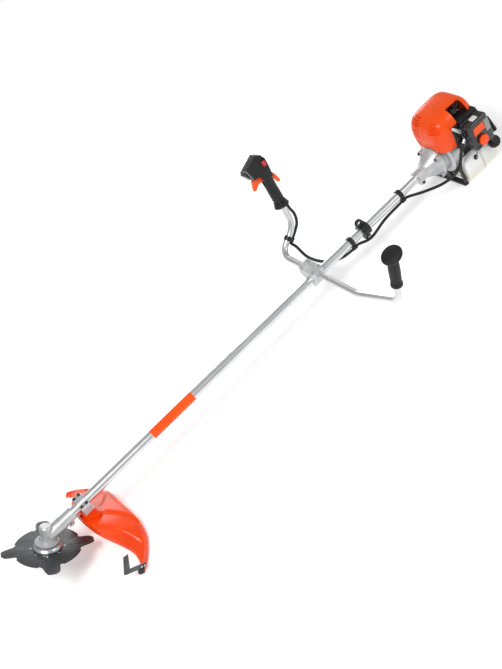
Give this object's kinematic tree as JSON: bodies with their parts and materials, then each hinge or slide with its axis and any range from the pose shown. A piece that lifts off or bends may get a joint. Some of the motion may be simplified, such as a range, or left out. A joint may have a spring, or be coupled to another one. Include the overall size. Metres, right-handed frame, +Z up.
{
  "type": "brush cutter",
  "caption": "Petrol brush cutter: two-stroke engine on a straight drive tube with a wide bent handlebar, throttle grip, orange guard and a toothed steel blade.",
  "frame": {"origin": "Middle of the flat sole of the stand under the engine, on the ground.", "axes": "+X runs along the machine to its engine end, +Y is the operator's right, +Z is up. The tube slopes down towards the engine by 1.6 degrees, as it stands on its foot and the guard's rim."},
  "size_m": [1.8871, 0.6638, 0.4353],
  "materials": {
    "aluminium": "satin anodised",
    "cast_aluminium": "fine shot-blasted casting",
    "steel": "ground",
    "blade_steel": "black lacquer over steel",
    "orange": "glossy moulded",
    "black_plastic": "fine grain",
    "rubber": "soft, ribbed",
    "white_tank": "milky translucent",
    "brass": "sintered bronze",
    "red": "glossy moulded"
  },
  "bodies": {
    "frame": {"main_tube": "aluminium", "shaft_bush_1": "brass", "shaft_bush_2": "brass", "gearcase": "cast_aluminium", "guard": "orange", "guard_bracket": "cast_aluminium", "line_knife": "steel", "handlebar": "aluminium", "handlebar_clamp_base": "cast_aluminium", "handlebar_clamp_cap": "cast_aluminium", "clamp_screw_1": "steel", "clamp_screw_2": "steel", "clamp_screw_3": "steel", "clamp_screw_4": "steel", "left_grip": "rubber", "throttle_housing_left": "black_plastic", "throttle_housing_right": "black_plastic", "hanger_clamp": "black_plastic", "cable_clip_1": "black_plastic", "cable_clip_2": "black_plastic", "cable_clip_3": "black_plastic", "throttle_cable": "black_plastic", "clutch_housing": "cast_aluminium", "fan_housing": "cast_aluminium", "crankcase": "cast_aluminium", "cylinder": "cast_aluminium", "spark_plug": "steel", "plug_cap": "rubber", "muffler": "steel", "engine_cover": "orange", "carburettor": "cast_aluminium", "air_filter_base": "black_plastic", "air_filter_cover": "black_plastic", "fuel_tank": "white_tank", "foot_stand": "black_plastic", "starter_housing": "black_plastic"},
    "blade_group": {"output_spindle": "steel", "bevel_gear": "steel", "blade_holder": "steel", "blade": "blade_steel", "blade_washer": "steel", "blade_nut": "steel"},
    "shaft_group": {"drive_shaft": "steel", "bevel_pinion": "steel", "clutch_drum": "steel"},
    "crank_group": {"crankshaft": "steel", "flywheel": "cast_aluminium"},
    "clutch_shoe_a": {"clutch_shoe_1": "steel"},
    "clutch_shoe_b": {"clutch_shoe_2": "steel"},
    "piston_group": {"piston": "aluminium", "connecting_rod": "steel"},
    "trigger": {"throttle_trigger": "orange"},
    "lockout": {"lockout_lever": "orange"},
    "switch": {"stop_switch": "red"},
    "throttle_arm": {"carburettor_lever": "steel"},
    "choke": {"choke_lever": "steel"},
    "filter_knob": {"air_filter_knob": "orange"},
    "tank_cap": {"fuel_cap": "black_plastic"},
    "rope_pulley": {"starter_pulley": "black_plastic"},
    "pull_handle": {"starter_handle": "black_plastic"}
  },
  "joints": [
    {"name": "blade_spin", "type": "hinge", "parent": "frame", "child": "blade_group", "pos_m": [-1.60762, 0, 0.14452], "axis": [0.5238, 0, 0.8519], "continuous": true},
    {"name": "drive_shaft_spin", "type": "hinge", "parent": "frame", "child": "shaft_group", "pos_m": [-1.60762, 0, 0.14452], "axis": [0.9996, 0, -0.0277], "continuous": true},
    {"name": "crank_spin", "type": "hinge", "parent": "frame", "child": "crank_group", "pos_m": [0.05175, 0, 0.09861], "axis": [0.9996, 0, -0.0277], "continuous": true},
    {"name": "clutch_shoe_a_swing", "type": "hinge", "parent": "crank_group", "child": "clutch_shoe_a", "pos_m": [-0.01677, 0.01377, 0.08084], "axis": [0.9996, 0, -0.0277], "range_deg": [0, 3.5], "stiffness_Nm_per_rad": 0.5},
    {"name": "clutch_shoe_b_swing", "type": "hinge", "parent": "crank_group", "child": "clutch_shoe_b", "pos_m": [-0.01568, -0.01377, 0.12014], "axis": [0.9996, 0, -0.0277], "range_deg": [0, 3.5], "stiffness_Nm_per_rad": 0.5},
    {"name": "piston_stroke", "type": "slide", "parent": "frame", "child": "piston_group", "axis": [-0.0277, 0, -0.9996], "range_m": [0, 0.034]},
    {"name": "trigger_pull", "type": "hinge", "parent": "frame", "child": "trigger", "pos_m": [-0.44922, 0.19315, 0.3686], "axis": [0.0064, -0.9725, 0.233], "range_deg": [0, 18], "stiffness_Nm_per_rad": 0.15, "springref_deg": -11.46},
    {"name": "lockout_press", "type": "hinge", "parent": "frame", "child": "lockout", "pos_m": [-0.43111, 0.19322, 0.3684], "axis": [-0.0064, 0.9725, -0.233], "range_deg": [0, 10], "stiffness_Nm_per_rad": 0.15, "springref_deg": -11.46},
    {"name": "stop_switch_slide", "type": "slide", "parent": "frame", "child": "switch", "axis": [0.1198, 0.2321, 0.9653], "range_m": [0, 0.008]},
    {"name": "throttle_arm_turn", "type": "hinge", "parent": "frame", "child": "throttle_arm", "pos_m": [0.0989, -0.062, 0.17583], "axis": [0.0277, 0, 0.9996], "range_deg": [0, 72]},
    {"name": "choke_turn", "type": "hinge", "parent": "frame", "child": "choke", "pos_m": [0.04066, -0.0917, 0.18595], "axis": [0, -1, 0], "range_deg": [0, 50]},
    {"name": "filter_knob_turn", "type": "hinge", "parent": "frame", "child": "filter_knob", "pos_m": [0.07776, -0.1265, 0.1349], "axis": [0, -1, 0], "range_deg": [-720, 0]},
    {"name": "tank_cap_turn", "type": "hinge", "parent": "frame", "child": "tank_cap", "pos_m": [0.12526, -0.085, 0.06206], "axis": [0.1164, -0.8008, 0.5876], "range_deg": [0, 540]},
    {"name": "starter_pull", "type": "slide", "parent": "frame", "child": "pull_handle", "axis": [0.011, -0.9171, 0.3986], "range_m": [0, 0.6], "stiffness_N_per_m": 10, "springref_m": -0.2},
    {"name": "starter_pulley_spin", "type": "hinge", "parent": "frame", "child": "rope_pulley", "pos_m": [0.12522, 0, 0.09657], "axis": [-0.9996, 0, 0.0277], "range_deg": [0, 900]}
  ],
  "couplings": [
    {"joint": "drive_shaft_spin", "follows": "blade_spin", "ratio": -1.3333},
    {"joint": "throttle_arm_turn", "follows": "trigger_pull", "ratio": 4},
    {"joint": "starter_pulley_spin", "follows": "starter_pull", "rad_per_m": 25}
  ]
}
